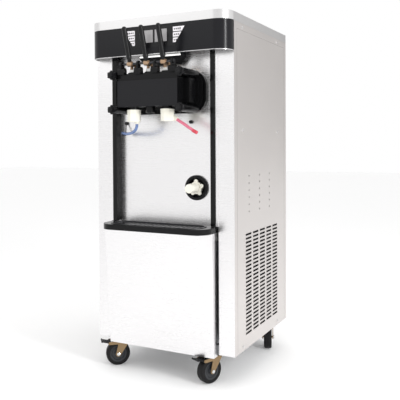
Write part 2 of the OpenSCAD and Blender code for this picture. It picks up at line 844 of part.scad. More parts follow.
module drip_grid() {
    m = slide_gap + sheet + 0.8;
    z1 = rail_top - 3;
    floor_z = rail_top + seat_gap - tray_depth + sheet + 0.1;
    bars = floor((well_x - m - 12) / grid_pitch);
    color("dimgray") at() {
        difference() {
            translate([0, 0, z1 - 2]) linear_extrude(2)
                round_rect([-well_x + m, well_y0 + m], [well_x - m, well_y1 - m], 34);
            for (k = [-bars : bars]) block([k * grid_pitch - 4, well_y0 + 14, z1 - 5],
                [k * grid_pitch + 4, well_y1 - 14, z1 + 5]);
        }
        for (s = [-1, 1], y = [well_y0 + 9, well_y1 - 9])
            translate([s * (well_x - 40), y, floor_z]) cylinder(r = 3, h = z1 - floor_z - 1);
    }
}

// ---- casters ----

// Local frame of a caster: kingpin on the Z axis, wheel towards -Y
module caster_at(p, turn) {
    translate([p[0], p[1], 0]) rotate([0, 0, turn]) children();
}

module fork(brake) {
    color("#b8a06a") difference() {
        union() {
            translate([0, 0, fork_top - 8]) cylinder(r = 20, h = 8 - 1);
            block([-fork_x - fork_t, -28, fork_top - 8], [fork_x + fork_t, 12, fork_top - 8 + fork_t]);
            for (s = [-1, 1]) translate([s * (fork_x + fork_t / 2), 0, 0])
                rotate([90, 0, 90]) translate([0, 0, -fork_t / 2]) linear_extrude(fork_t) {
                    polygon([[-28, fork_top - 5], [12, fork_top - 5], [-trail + 9, wheel_r - 2],
                        [-trail - 9, wheel_r - 2]]);
                    translate([-trail, wheel_r]) circle(9);
                    if (brake) {
                        polygon([[-20, fork_top - 5], [-22, fork_top - 17],
                            [-pedal_y, pedal_z - 5], [-pedal_y, pedal_z + 5]]);
                        translate([-pedal_y, pedal_z]) circle(5);
                    }
                }
            rod_x(-trail, wheel_r, axle_r, -fork_x - fork_t - 2, fork_x + fork_t + 2);
            if (brake) rod_x(-pedal_y, pedal_z, pedal_pin_r, -fork_x - fork_t, fork_x + fork_t);
        }
        translate([0, 0, fork_top - 10]) cylinder(r = pin_r + pin_gap, h = 20);
    }
}

module front_left_fork() { at() caster_at([-front_pin[0], front_pin[1]], turn_fl) fork(true); }
module front_right_fork() { at() caster_at(front_pin, turn_fr) fork(true); }
module rear_left_fork() { at() caster_at([-rear_pin[0], rear_pin[1]], turn_rl) fork(false); }
module rear_right_fork() { at() caster_at(rear_pin, turn_rr) fork(false); }

module wheel() {
    h = wheel_w / 2;
    color("#2a2a2c") translate([0, -trail, wheel_r]) rotate([0, 90, 0]) rotate_extrude()
        polygon([[axle_r + pin_gap, -h], [12, -h], [12, -h + 3], [28, -h + 3], [30, -h],
            [wheel_r - 4, -h], [wheel_r, -h + 5], [wheel_r, h - 5], [wheel_r - 4, h],
            [30, h], [28, h - 3], [12, h - 3], [12, h], [axle_r + pin_gap, h]]);
}

module front_left_wheel() { at() caster_at([-front_pin[0], front_pin[1]], turn_fl) wheel(); }
module front_right_wheel() { at() caster_at(front_pin, turn_fr) wheel(); }
module rear_left_wheel() { at() caster_at([-rear_pin[0], rear_pin[1]], turn_rl) wheel(); }
module rear_right_wheel() { at() caster_at(rear_pin, turn_rr) wheel(); }

module brake_pedal() {
    w = fork_x - slide_gap;
    color("black") translate([0, -pedal_y, pedal_z]) difference() {
        union() {
            rod_x(0, 0, pedal_pin_r + 2.5, -w, w);
            rotate([-pedal_tilt, 0, 0]) {
                block([1 - w, -pedal_len, -1.5], [w - 1, 0, 1.5]);
                rod_x(-pedal_len, 0, 3, -w + 0.5, w - 0.5);
            }
        }
        rod_x(0, 0, pedal_pin_r + pin_gap, -w - 1, w + 1);
    }
}

module left_brake_pedal() { at() caster_at([-front_pin[0], front_pin[1]], turn_fl) brake_pedal(); }
module right_brake_pedal() { at() caster_at(front_pin, turn_fr) brake_pedal(); }

// ---- inside ----

barrel_y0 = panel_y + sheet + seat_gap;
barrel_y1 = barrel_y0 + barrel_len;

module freezing_cylinders() {
    color("lightsteelblue") at() {
        difference() {
            union() {
                plate_y(barrel_y0, barrel_y0 + 6)
                    round_rect([-stud_x - 14, head_z - 68], [stud_x + 14, head_z + 70], 20);
                for (s = [-1, 1]) rod_y(s * draw_pitch, head_z, barrel_r + 13, barrel_y0, barrel_y1);
            }
            for (s = [-1, 1]) rod_y(s * draw_pitch, head_z, barrel_r, barrel_y0 - 1, barrel_y1 - 5);
            for (s = [-1, 1]) rod_y(s * draw_pitch, head_z, 10.05, barrel_y0, barrel_y1 + 1);
        }
        for (s = [-1, 1], z = [head_z + stud_up, head_z - stud_down])
            rod_y(s * stud_x, z, stud_r, -knob_y0 - 13, barrel_y0 + 3);
    }
}

// Beater: shaft with two end rings and four scraper bars
module beater(s) {
    color("white") at() {
        rod_y(s * draw_pitch, head_z, 10, barrel_y0 + 30, barrel_y1 + 20);
        for (y = [barrel_y0 + 8, barrel_y0 + barrel_len / 2, barrel_y1 - 30]) difference() {
            rod_y(s * draw_pitch, head_z, barrel_r - 2, y, y + 12);
            for (k = [0 : 3]) rod_y(s * draw_pitch + 22 * cos(90 * k + 45),
                head_z + 22 * sin(90 * k + 45), 9, y - 1, y + 13);
        }
        for (k = [0 : 3]) rod_y(s * draw_pitch + (barrel_r - 7) * cos(90 * k),
            head_z + (barrel_r - 7) * sin(90 * k), 4, barrel_y0 + 8, barrel_y1 - 18);
    }
}

module left_beater() { beater(-1); }
module right_beater() { beater(1); }

module beater_gearmotors() {
    y0 = barrel_y1 + seat_gap;
    color("slategray") at() for (s = [-1, 1]) {
        difference() {
            block([s * draw_pitch - 45, y0, head_z - 60], [s * draw_pitch + 45, y0 + 60, head_z + 60]);
            rod_y(s * draw_pitch, head_z, 10.1, y0 - 1, y0 + 24);
        }
        translate([s * draw_pitch, y0 + 30, head_z - 200]) cylinder(r = 42, h = 142);
        translate([s * draw_pitch, y0 + 30, head_z - 206]) cylinder(r = 34, h = 7);
    }
}

// Compressor, and the condenser coil with its fan shroud and motor
fan_y = body_d / 2 + 6;
fan_z = base_z + 210;
coil_x = half_w - 60;
fan_pin_r = 4;
module condensing_unit() {
    z0 = base_z + 2.5 + 0.2;
    color("darkslategray") at() {
        translate([-90, 330, z0]) cylinder(r = 78, h = 12);
        translate([-90, 330, z0 + 10]) cylinder(r = 70, h = 190);
        translate([-90, 330, z0 + 199]) cylinder(r = 52, h = 18);
        translate([-90, 330, z0 + 216]) cylinder(r = 6, h = 120);
        difference() {
            block([coil_x - 62, fan_y - 155, z0], [coil_x + 40, fan_y + 155, z0 + 380]);
            block([coil_x - 58, fan_y - 151, z0 + 4], [coil_x, fan_y + 151, z0 + 376]);
            rod_x(fan_y, fan_z, 130, coil_x - 70, coil_x - 50);
        }
        rod_x(fan_y, fan_z, 26, coil_x - 46, coil_x + 1);
        rod_x(fan_y, fan_z, fan_pin_r, coil_x - 72, coil_x - 45);
    }
}

module condenser_fan() {
    color("silver") at() translate([coil_x - 62, fan_y, fan_z]) difference() {
        union() {
            rod_x(0, 0, 22, -10, 10);
            for (k = [0 : 4]) rotate([72 * k, 0, 0]) translate([0, 0, 66]) rotate([0, 0, 28])
                block([-1.5, -26, -48], [1.5, 26, 52]);
        }
        rod_x(0, 0, fan_pin_r + pin_gap, -20, 20);
    }
}

// Slotted pan-head screws through the side panels into the frame's rails
module panel_screws() {
    x0 = half_w + pin_gap;
    color("silver") at() both_sides() screw_places() difference() {
        union() {
            rod_x(0, 0, screw_r, half_w - screw_len, x0 + 0.5);
            rod_x(0, 0, screw_head_r, x0, x0 + screw_head_h);
        }
        block([x0 + screw_head_h - 0.8, -screw_head_r - 1, -0.6],
            [x0 + screw_head_h + 1, screw_head_r + 1, 0.6]);
    }
}

module cord_gland() {
    color("black") at() difference() {
        union() {
            rod_y(gland_x, gland_z, gland_r, body_d - 14, body_d + 6);
            rod_y(gland_x, gland_z, gland_r + 4, body_d + pin_gap, body_d + 6);
            rod_y(gland_x, gland_z, gland_r - 2, body_d + 5, body_d + gland_out);
            rod_y(gland_x, gland_z, gland_r + 4, body_d - 12, body_d - sheet - pin_gap - 2);
        }
        rod_y(gland_x, gland_z, gland_bore, body_d - 20, body_d + gland_out + 1);
    }
}

// ---- output ----

frame();
left_side_panel();
right_side_panel();
rear_panel();
front_pillars();
guide_strips();
centre_panel();
lower_panel();
top_surround();
hoppers();
hopper_lid();
fascia();
control_overlay();
key_left_top();
key_left_middle();
key_left_bottom();
key_right_top();
key_right_middle();
key_right_bottom();
lamp_housing();
dispensing_head();
face_plate();
star_knob_upper_left();
star_knob_upper_right();
star_knob_lower_left();
star_knob_lower_right();
left_plunger();
middle_plunger();
right_plunger();
left_handle();
middle_handle();
right_handle();
lever_shaft();
spout_fittings();
left_hose();
right_hose();
hose_hooks();
leak_bezel();
leak_drawer();
drip_rail();
drip_tray();
drip_grid();
front_left_fork();
front_right_fork();
rear_left_fork();
rear_right_fork();
front_left_wheel();
front_right_wheel();
rear_left_wheel();
rear_right_wheel();
left_brake_pedal();
right_brake_pedal();
freezing_cylinders();
left_beater();
right_beater();
beater_gearmotors();
condensing_unit();
condenser_fan();
panel_screws();
cord_gland();
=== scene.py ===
"""Looks of the floor-standing soft-serve ice cream maker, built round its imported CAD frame."""
import json
import math

import bmesh
import bpy
from mathutils import Matrix, Vector


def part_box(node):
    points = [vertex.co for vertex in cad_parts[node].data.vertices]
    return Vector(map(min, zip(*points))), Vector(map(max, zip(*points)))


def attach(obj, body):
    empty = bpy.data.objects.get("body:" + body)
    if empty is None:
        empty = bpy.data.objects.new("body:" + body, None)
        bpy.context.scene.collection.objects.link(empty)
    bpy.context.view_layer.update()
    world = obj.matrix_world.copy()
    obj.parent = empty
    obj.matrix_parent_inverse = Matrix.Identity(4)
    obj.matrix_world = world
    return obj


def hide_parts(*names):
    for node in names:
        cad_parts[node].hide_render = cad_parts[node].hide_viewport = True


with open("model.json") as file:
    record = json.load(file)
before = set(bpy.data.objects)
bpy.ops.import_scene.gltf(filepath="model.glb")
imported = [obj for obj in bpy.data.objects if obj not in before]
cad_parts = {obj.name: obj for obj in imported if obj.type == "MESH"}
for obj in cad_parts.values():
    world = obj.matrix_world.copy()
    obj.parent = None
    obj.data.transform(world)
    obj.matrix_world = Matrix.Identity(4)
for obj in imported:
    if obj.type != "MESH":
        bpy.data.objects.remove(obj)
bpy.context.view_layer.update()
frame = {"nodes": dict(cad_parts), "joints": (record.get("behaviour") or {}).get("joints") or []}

MM = 0.001
NODES = frame["nodes"]
JOINTS = {j["name"]: j for j in frame["joints"]}
CABINET = "cabinet"

# Planes and places read from the frame
pillar_lo, pillar_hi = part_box("front_pillars")
TRIM_OUT = 2 * MM
FRONT = pillar_lo.y + TRIM_OUT
HALF_W = pillar_hi.x
side_lo, side_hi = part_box("right_side_panel")
fascia_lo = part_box("fascia")[0]
band_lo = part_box("top_surround")[0]
overlay_lo, overlay_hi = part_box("control_overlay")

SIDES = ((-1, "left"), (1, "right"))
DRAWS = ("left", "middle", "right")


# ---- mesh helpers ----

def finish_piece(obj, body, material, smooth=True):
    """Gives a new object its material and slot, and rides it on a body."""
    if obj.type == "MESH":
        obj.data.materials.clear()
        obj.data.materials.append(material)
        if smooth:
            obj.data.polygons.foreach_set("use_smooth", [True] * len(obj.data.polygons))
            obj.data.set_sharp_from_angle(angle=math.radians(35))
    else:
        obj.data.materials.append(material)
    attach(obj, body)
    return obj


def from_bmesh(name, bm):
    bmesh.ops.recalc_face_normals(bm, faces=bm.faces)
    mesh = bpy.data.meshes.new(name)
    bm.to_mesh(mesh)
    bm.free()
    obj = bpy.data.objects.new(name, mesh)
    bpy.context.scene.collection.objects.link(obj)
    return obj


def add_block(bm, low, high, matrix=None):
    low, high = Vector(low), Vector(high)
    made = bmesh.ops.create_cube(bm, size=1)["verts"]
    for v in made:
        v.co = Vector(((v.co[i] + 0.5) * (high[i] - low[i]) + low[i]) for i in range(3))
    if matrix is not None:
        bmesh.ops.transform(bm, matrix=matrix, verts=made)
    return made


def soften(bm, width, segments=2):
    bmesh.ops.bevel(bm, geom=bm.edges[:], offset=width, segments=segments, affect="EDGES",
                    clamp_overlap=True)


def add_slab(bm, x0, x1, low_yz, high_yz):
    """Block between two x planes, given in either order, and two (y, z) corners."""
    add_block(bm, (min(x0, x1), *low_yz), (max(x0, x1), *high_yz))


def mm(profile):
    """A (radius, distance) profile given in millimetres, in metres."""
    return [(radius * MM, along * MM) for radius, along in profile]


def face_centre(node, rear=False):
    """Middle of the front face of a node's box, or of its rear face."""
    lo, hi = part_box(node)
    return Vector(((lo.x + hi.x) / 2, hi.y if rear else lo.y, (lo.z + hi.z) / 2))


def add_lathe(bm, profile, origin, axis, steps=48):
    """Turns (radius, distance along the axis) points round it; radius 0 closes an end."""
    axis = Vector(axis).normalized()
    turn = Vector((0, 0, 1)).rotation_difference(axis).to_matrix()
    rings = []
    for radius, along in profile:
        if radius < 1e-7:
            rings.append([bm.verts.new(Vector(origin) + turn @ Vector((0, 0, along)))])
            continue
        angles = [2 * math.pi * k / steps for k in range(steps)]
        rings.append([bm.verts.new(Vector(origin) + turn @ Vector(
            (radius * math.cos(a), radius * math.sin(a), along))) for a in angles])
    for a, b in zip(rings, rings[1:]):
        for k in range(steps):
            n = (k + 1) % steps
            if len(a) == 1 and len(b) == 1:
                continue
            if len(a) == 1:
                bm.faces.new((a[0], b[k], b[n]))
            elif len(b) == 1:
                bm.faces.new((a[k], a[n], b[0]))
            else:
                bm.faces.new((a[k], a[n], b[n], b[k]))


def arc(radius, start, end, steps=6):
    """Points (x, y) of an arc about the origin, from one angle to another in degrees."""
    return [(radius * math.cos(math.radians(start + (end - start) * k / steps)),
             radius * math.sin(math.radians(start + (end - start) * k / steps)))
            for k in range(steps + 1)]


# ---- materials ----

def surface(name, colour, rough, metallic=0.0, spread=0.06, grain=(300, 300, 300),
            bump=0.1, depth=0.0002, patch=4.0, patch_tone=0.05, coat=0.0, see_through=0.0,
            specular=0.5):
    """Principled surface with tone, roughness and relief from fine grain and broad patches."""
    material = bpy.data.materials.new(name)
    material.use_nodes = True
    tree = material.node_tree
    shader = tree.nodes["Principled BSDF"]
    shader.inputs["Metallic"].default_value = metallic
    shader.inputs["Coat Weight"].default_value = coat
    shader.inputs["Specular IOR Level"].default_value = specular
    shader.inputs["Transmission Weight"].default_value = see_through
    place = tree.nodes.new("ShaderNodeTexCoord")
    stretch = tree.nodes.new("ShaderNodeMapping")
    stretch.inputs["Scale"].default_value = grain
    fine = tree.nodes.new("ShaderNodeTexNoise")
    fine.inputs["Scale"].default_value = 1.0
    fine.inputs["Detail"].default_value = 5.0
    broad = tree.nodes.new("ShaderNodeTexNoise")
    broad.inputs["Scale"].default_value = patch
    broad.inputs["Detail"].default_value = 3.0
    tree.links.new(place.outputs["Object"], stretch.inputs["Vector"])
    tree.links.new(stretch.outputs["Vector"], fine.inputs["Vector"])
    tree.links.new(place.outputs["Object"], broad.inputs["Vector"])
    both = tree.nodes.new("ShaderNodeMath")
    both.operation = "MULTIPLY_ADD"
    both.inputs[1].default_value = 0.5
    tree.links.new(fine.outputs["Fac"], both.inputs[0])
    half = tree.nodes.new("ShaderNodeMath")
    half.operation = "MULTIPLY"
    half.inputs[1].default_value = 0.5
    tree.links.new(broad.outputs["Fac"], half.inputs[0])
    tree.links.new(half.outputs[0], both.inputs[2])
    tone = tree.nodes.new("ShaderNodeMix")
    tone.data_type = "RGBA"
    tone.inputs["A"].default_value = (*[c * (1 - patch_tone) for c in colour], 1)
    tone.inputs["B"].default_value = (*[min(1, c * (1 + patch_tone)) for c in colour], 1)
    tree.links.new(both.outputs[0], tone.inputs["Factor"])
    tree.links.new(tone.outputs["Result"], shader.inputs["Base Color"])
    gloss = tree.nodes.new("ShaderNodeMapRange")
    gloss.inputs["From Min"].default_value = 0.3
    gloss.inputs["From Max"].default_value = 0.7
    gloss.inputs["To Min"].default_value = max(0.02, rough - spread)
    gloss.inputs["To Max"].default_value = rough + spread
    tree.links.new(both.outputs[0], gloss.inputs["Value"])
    tree.links.new(gloss.outputs["Result"], shader.inputs["Roughness"])
    relief = tree.nodes.new("ShaderNodeBump")
    relief.inputs["Strength"].default_value = bump
    relief.inputs["Distance"].default_value = depth
    tree.links.new(fine.outputs["Fac"], relief.inputs["Height"])
    tree.links.new(relief.outputs["Normal"], shader.inputs["Normal"])
    return material


def add_glow(material, colour, strength):
    sockets = material.node_tree.nodes["Principled BSDF"].inputs
    sockets["Emission Color"].default_value = colour
    sockets["Emission Strength"].default_value = strength


# Grain of each finish: noise cells per metre along X, Y and Z
ALONG_X = (6, 900, 900)
ALONG_Y = (900, 6, 900)
FINE = (900, 900, 900)
MOULDED = (450, 450, 450)

STEEL_SIDE = surface("steel_side", (0.70, 0.668, 0.65), 0.34, 1.0, 0.04, ALONG_Y, 0.045)
STEEL_FRONT = surface("steel_front", (0.87, 0.86, 0.865), 0.27, 1.0, 0.04, ALONG_X, 0.028,
                      patch_tone=0.015)
STEEL_BAND = surface("steel_band", (0.70, 0.695, 0.695), 0.30, 1.0, 0.04, ALONG_X, 0.03,
                     patch_tone=0.02)
STEEL_TRAY = surface("steel_tray", (0.55, 0.55, 0.57), 0.34, 1.0, 0.08, ALONG_X, 0.12)
TRAY_DARK = surface("tray_dark", (0.050, 0.050, 0.054), 0.34, 0.6, 0.06, ALONG_X, 0.10)
FRAME_PAINT = surface("frame_paint", (0.22, 0.225, 0.235), 0.5, 0.0, 0.08, MOULDED, 0.2)
HEAD_BLACK = surface("head_black", (0.0035, 0.0035, 0.004), 0.20, 0.0, 0.05, MOULDED, 0.10,
                     specular=0.22)
FASCIA_BLACK = surface("fascia_black", (0.006, 0.006, 0.008), 0.24, 0.0, 0.04, FINE, 0.08,
                       specular=0.24)
STRIP_BLACK = surface("strip_black", (0.003, 0.003, 0.003), 0.12, 0.0, 0.03, FINE, 0.05,
                      specular=0.24)
GRIP_BLACK = surface("grip_black", (0.003, 0.003, 0.0035), 0.30, 0.0, 0.05, MOULDED, 0.10,
                     specular=0.30)
MATTE_BLACK = surface("matte_black", (0.006, 0.006, 0.007), 0.5, 0.0, 0.08, MOULDED, 0.3,
                      specular=0.25)
PLATE_GREY = surface("plate_grey", (0.009, 0.009, 0.011), 0.34, 0.0, 0.06, FINE, 0.12,
                     specular=0.22)
OVERLAY_FILM = surface("overlay_film", (0.004, 0.004, 0.005), 0.16, 0.0, 0.03, FINE, 0.04,
                       specular=0.28)
WHITE_ACETAL = surface("white_acetal", (0.88, 0.88, 0.86), 0.35, 0.0, 0.06, MOULDED, 0.15)
IVORY = surface("ivory", (0.87, 0.85, 0.76), 0.36, 0.0, 0.06, MOULDED, 0.15)
KEY_WHITE = surface("key_white", (0.90, 0.87, 0.90), 0.3, 0.0, 0.05, MOULDED, 0.1)
ICON_INK = surface("icon_ink", (0.045, 0.035, 0.045), 0.5, 0.0, 0.05, MOULDED, 0.1)
DISPLAY = surface("display_glass", (0.34, 0.33, 0.335), 0.12, 0.0, 0.03, FINE, 0.03, patch=18,
                  patch_tone=0.12, coat=0.3)
PIN_STEEL = surface("pin_steel", (0.74, 0.74, 0.74), 0.2, 1.0, 0.06, FINE, 0.08)
DARK_STEEL = surface("dark_steel", (0.06, 0.06, 0.065), 0.3, 0.9, 0.06, FINE, 0.08)
BRASS = surface("brass", (0.42, 0.29, 0.19), 0.32, 1.0, 0.08, FINE, 0.15)
ZINC = surface("zinc", (0.30, 0.21, 0.12), 0.42, 1.0, 0.1, (160, 160, 160), 0.2, patch=30,
               patch_tone=0.22)
TYRE = surface("tyre", (0.006, 0.0055, 0.006), 0.6, 0.0, 0.08, (250, 250, 250), 0.4, specular=0.25)
HUB = surface("hub", (0.030, 0.032, 0.036), 0.42, 0.0, 0.08, MOULDED, 0.25, specular=0.35)
CAST_GREY = surface("cast_grey", (0.20, 0.21, 0.23), 0.6, 0.3, 0.1, (180, 180, 180), 0.6, 0.0005)
UNIT_GREY = surface("unit_grey", (0.30, 0.31, 0.33), 0.42, 0.8, 0.1, (700, 12, 700), 0.3)
HOSE_BLUE = surface("hose_blue", (0.20, 0.30, 0.58), 0.25, 0.0, 0.04, FINE, 0.05, see_through=0.25)
HOSE_PINK = surface("hose_pink", (0.84, 0.22, 0.32), 0.25, 0.0, 0.04, FINE, 0.05, see_through=0.2)
HOSE_RED = surface("hose_red", (0.62, 0.06, 0.09), 0.35, 0.0, 0.05, MOULDED, 0.1)
# Dark grey painted as the shade in the fold creases of the side panels
CREASE_SHADE = surface("crease_shade", (0.30, 0.28, 0.27), 0.6, 0.4, 0.05, MOULDED, 0.1)
DIFFUSER = surface("diffuser", (0.86, 0.86, 0.85), 0.4, 0.0, 0.05, MOULDED, 0.05)
add_glow(DIFFUSER, (1, 1, 0.98, 1), 1.0)

# The first entry whose text is in a CAD node's name gives the node's material
BY_NAME = [
    ("side_panel", STEEL_SIDE), ("rear_panel", STEEL_SIDE), ("front_pillars", STEEL_FRONT),
    ("centre_panel", STEEL_FRONT), ("lower_panel", STEEL_FRONT), ("top_surround", STEEL_BAND),
    ("hopper_lid", STEEL_FRONT), ("hoppers", STEEL_TRAY), ("drip_tray", TRAY_DARK),
    ("drip_grid", TRAY_DARK), ("drip_rail", HEAD_BLACK), ("frame", FRAME_PAINT),
    ("guide_strips", STRIP_BLACK), ("control_overlay", OVERLAY_FILM), ("fascia", FASCIA_BLACK),
    ("lamp_housing", MATTE_BLACK), ("dispensing_head", HEAD_BLACK), ("face_plate", PLATE_GREY),
    ("star_knob", MATTE_BLACK), ("plunger", WHITE_ACETAL), ("handle", GRIP_BLACK),
    ("lever_shaft", DARK_STEEL), ("panel_screws", PIN_STEEL), ("spout_fittings", IVORY),
    ("left_hose", HOSE_BLUE), ("right_hose", HOSE_PINK), ("hose_hooks", MATTE_BLACK),
    ("leak_bezel", MATTE_BLACK), ("leak_drawer", IVORY), ("key_", KEY_WHITE), ("fork", ZINC),
    ("wheel", TYRE), ("brake_pedal", MATTE_BLACK), ("freezing_cylinders", STEEL_TRAY),
    ("beater_gearmotors", CAST_GREY), ("beater", WHITE_ACETAL), ("condensing_unit", UNIT_GREY),
    ("condenser_fan", STEEL_TRAY), ("cord_gland", MATTE_BLACK)]


def dress_nodes():
    for name, node in NODES.items():
        material = next(m for part, m in BY_NAME if part in name)
        node.data.materials.clear()
        node.data.materials.append(material)


dress_nodes()

# ---- camera ----

# Solved from the cabinet's edges in the photograph; metres, degrees, and millimetres of film
CAMERA_X = 1.062
CAMERA_Z = 0.799
CAMERA_BACK = 1.798
CAMERA_AZIMUTH = 26.9
CAMERA_DOWN = 1.06
CAMERA_ROLL = -0.28
CAMERA_FILM = 36
CAMERA_LENS = 54.45
CAMERA_SHIFT = (-0.003, -0.1105)


def make_camera():
    data = bpy.data.cameras.new("camera")
    data.sensor_width = CAMERA_FILM
    data.lens = CAMERA_LENS
    data.shift_x, data.shift_y = CAMERA_SHIFT
    cam = bpy.data.objects.new("camera", data)
    bpy.context.scene.collection.objects.link(cam)
    cam.location = (CAMERA_X, FRONT - CAMERA_BACK, CAMERA_Z)
    turn = Matrix.Rotation(math.radians(CAMERA_AZIMUTH), 4, "Z")
    tip = Matrix.Rotation(math.radians(90 - CAMERA_DOWN), 4, "X")
    roll = Matrix.Rotation(math.radians(CAMERA_ROLL), 4, "Z")
    cam.rotation_euler = (turn @ tip @ roll).to_euler()
    bpy.context.scene.camera = cam


make_camera()

# ---- hoses: the routes are those of the CAD tubes, from each spout's end ----

HOSE_R = 5 * MM
SEAT_GAP = 0.3
LEFT_ROUTE = [(0, 0, 0), (0, 0, -4), (-1, 0, -10), (-4, 1, -16), (-9, 3, -21),
              (-16, 6, -25), (-24, 10, -28), (-32, 14, -30), (-41, 19, -31), (-50, 24, -32),
              (-59, 30, -32), (-68, 36, -31), (-77, 42, -31), (-86, 48, -30), (-95, 54, -30)]
RIGHT_ROUTE = [(0, 0, 0), (8, 0, -5), (13, 0, -8), (18, 0, -11), (23, 0, -14),
               (28, 0, -17), (33, 0, -20), (38, 0, -24), (43, 0, -27), (48, 0, -30),
               (53, 0, -33), (58, 0, -36), (63, 0, -39), (68, 0, -42), (72, 0, -44)]
# Side spouts of the two caps, from the middle of each cap's foot
SPOUT_BACK = 14
LEFT_SPOUT_X = 2
RIGHT_SPOUT_X = 12
RIGHT_SPOUT_Z = 22.3
SPOUT_TILT = math.radians(122)
SPOUT_LEN = 19.5


def spout_end(side):
    """Middle of the free end of a cap's side spout, a seat gap clear of it."""
    lo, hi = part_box(f"{side}_plunger")
    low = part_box("spout_fittings")[0].z
    centre = Vector(((lo.x + hi.x) / 2, (lo.y + hi.y) / 2 + SPOUT_BACK * MM, low))
    if side == "left":
        return centre + Vector((LEFT_SPOUT_X, 0, -SEAT_GAP)) * MM
    reach = SPOUT_LEN + SEAT_GAP
    return centre + Vector((RIGHT_SPOUT_X + reach * math.sin(SPOUT_TILT), 0,
                            RIGHT_SPOUT_Z + reach * math.cos(SPOUT_TILT))) * MM


def hose(name, node, route, material):
    """Round tube along a route, in place of its CAD solid; gives it, its points and its length."""
    start = spout_end(node.split("_")[0])
    points = [start + Vector(p) * MM for p in route]
    length = sum((b - a).length for a, b in zip(points, points[1:]))
    curve = bpy.data.curves.new(name, "CURVE")
    curve.dimensions = "3D"
    curve.bevel_depth = HOSE_R
    curve.bevel_resolution = 6
    curve.use_fill_caps = True
    line = curve.splines.new("POLY")
    line.points.add(len(points) - 1)
    for target, p in zip(line.points, points):
        target.co = (*p, 1)
    obj = bpy.data.objects.new(name, curve)
    bpy.context.scene.collection.objects.link(obj)
    finish_piece(obj, CABINET, material)
    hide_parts(node)
    return obj, points, length


left_tube, left_points, left_length = hose(
    "blue_hose", "left_hose", LEFT_ROUTE, HOSE_BLUE)
right_tube, right_points, right_length = hose(
    "pink_hose", "right_hose", RIGHT_ROUTE, HOSE_PINK)


def plug(points):
    """Stopper over the free end of a hose."""
    bm = bmesh.new()
    axis = (points[-2] - points[-1]).normalized()
    add_lathe(bm, mm([(0, -1.5), (4.5, -1.5), (5.6, -0.4), (5.7, 16), (5.2, 17.5), (0, 17.5)]),
              points[-1], axis, 24)
    return finish_piece(from_bmesh("hose_plug", bm), CABINET, HOSE_RED)


hose_plug = plug(right_points)

# ---- front cover: display windows, key marks, steel lip ----


def display_windows():
    """Two grey windows, side by side in the middle of the overlay."""
    inner, outer, height = 3.6, 50.4, 41.8
    top = band_lo.z - 16.6 * MM
    for side, name in SIDES:
        bm = bmesh.new()
        add_slab(bm, side * inner * MM, side * outer * MM,
                 (overlay_lo.y + 0.1 * MM, top - height * MM), (overlay_hi.y, top))
        soften(bm, 0.3 * MM)
        finish_piece(from_bmesh(f"display_{name}", bm), CABINET, DISPLAY)


def key_marks():
    """A short raised bar and a round dot on each key, in place of the printed signs."""
    first, pitch, half_bar, growth = 13, 7, 2.2, 0.6
    for way, side in SIDES:
        for row, bars in (("top", 3), ("middle", 2), ("bottom", 1)):
            node = f"key_{side}_{row}"
            lo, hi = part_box(node)
            bm = bmesh.new()
            middle = (lo.z + hi.z) / 2
            inner = lo.x if side == "right" else hi.x
            for k in range(bars):
                a = inner + way * (first + pitch * k) * MM
                add_block(bm, (a - half_bar * MM, lo.y - 0.15 * MM,
                               middle - 2.4 * MM - k * growth * MM),
                          (a + half_bar * MM, lo.y + 0.3 * MM,
                           middle + 2.4 * MM + k * growth * MM))
            soften(bm, 0.12 * MM)
            add_lathe(bm, mm([(0, 0.15), (2.4, 0.15), (2.4, -0.3)]),
                      (inner + way * 6 * MM, lo.y, middle), (0, -1, 0), 20)
            finish_piece(from_bmesh(f"mark_{side}_{row}", bm), node, ICON_INK)


def fascia_lip():
    """Rolled steel edge under the front cover, following its round corners."""
    bm = bmesh.new()
    radius, edge, drop, width = 50 * MM, 1.5 * MM, -1.6 * MM, 1.5 * MM
    front, back = fascia_lo.y + edge, FRONT - 1 * MM
    path = [(-HALF_W + edge, back)]
    path += [(-HALF_W + edge + radius + x, front + radius + y) for x, y in arc(radius, 180, 270)]
    path += [(HALF_W - edge - radius + x, front + radius + y) for x, y in arc(radius, 270, 360)]
    path += [(HALF_W - edge, back)]
    rows = []
    for dz, inset in ((0.0, 0.0), (drop, 0.0), (drop, width), (0.0, width)):
        rows.append([bm.verts.new((x * (1 - inset / HALF_W), y + inset,
                                   fascia_lo.z - 0.2 * MM + dz)) for x, y in path])
    for a in range(4):
        b = (a + 1) % 4
        for k in range(len(path) - 1):
            bm.faces.new((rows[a][k], rows[a][k + 1], rows[b][k + 1], rows[b][k]))
    for k in (0, len(path) - 1):
        bm.faces.new([rows[a][k] for a in range(4)])
    finish_piece(from_bmesh("fascia_lip", bm), CABINET, STEEL_FRONT)


def lamp_diffuser():
    """Lit strip along the front of the lamp housing."""
    lo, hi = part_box("lamp_housing")
    bm = bmesh.new()
    add_block(bm, (lo.x + 2 * MM, lo.y - 1.5 * MM, hi.z - 6 * MM),
              (hi.x - 2 * MM, lo.y + 1 * MM, hi.z - 0.8 * MM))
    soften(bm, 0.7 * MM)
    finish_piece(from_bmesh("lamp_diffuser", bm), CABINET, DIFFUSER)


display_windows()
key_marks()
fascia_lip()
lamp_diffuser()

# ---- draw handles and plungers: collars, brass sleeves, nuts and yokes ----

HANDLE_LEAN = 17  # degrees, as handle_lean in part.scad
YOKE_DEPTH = 26.9


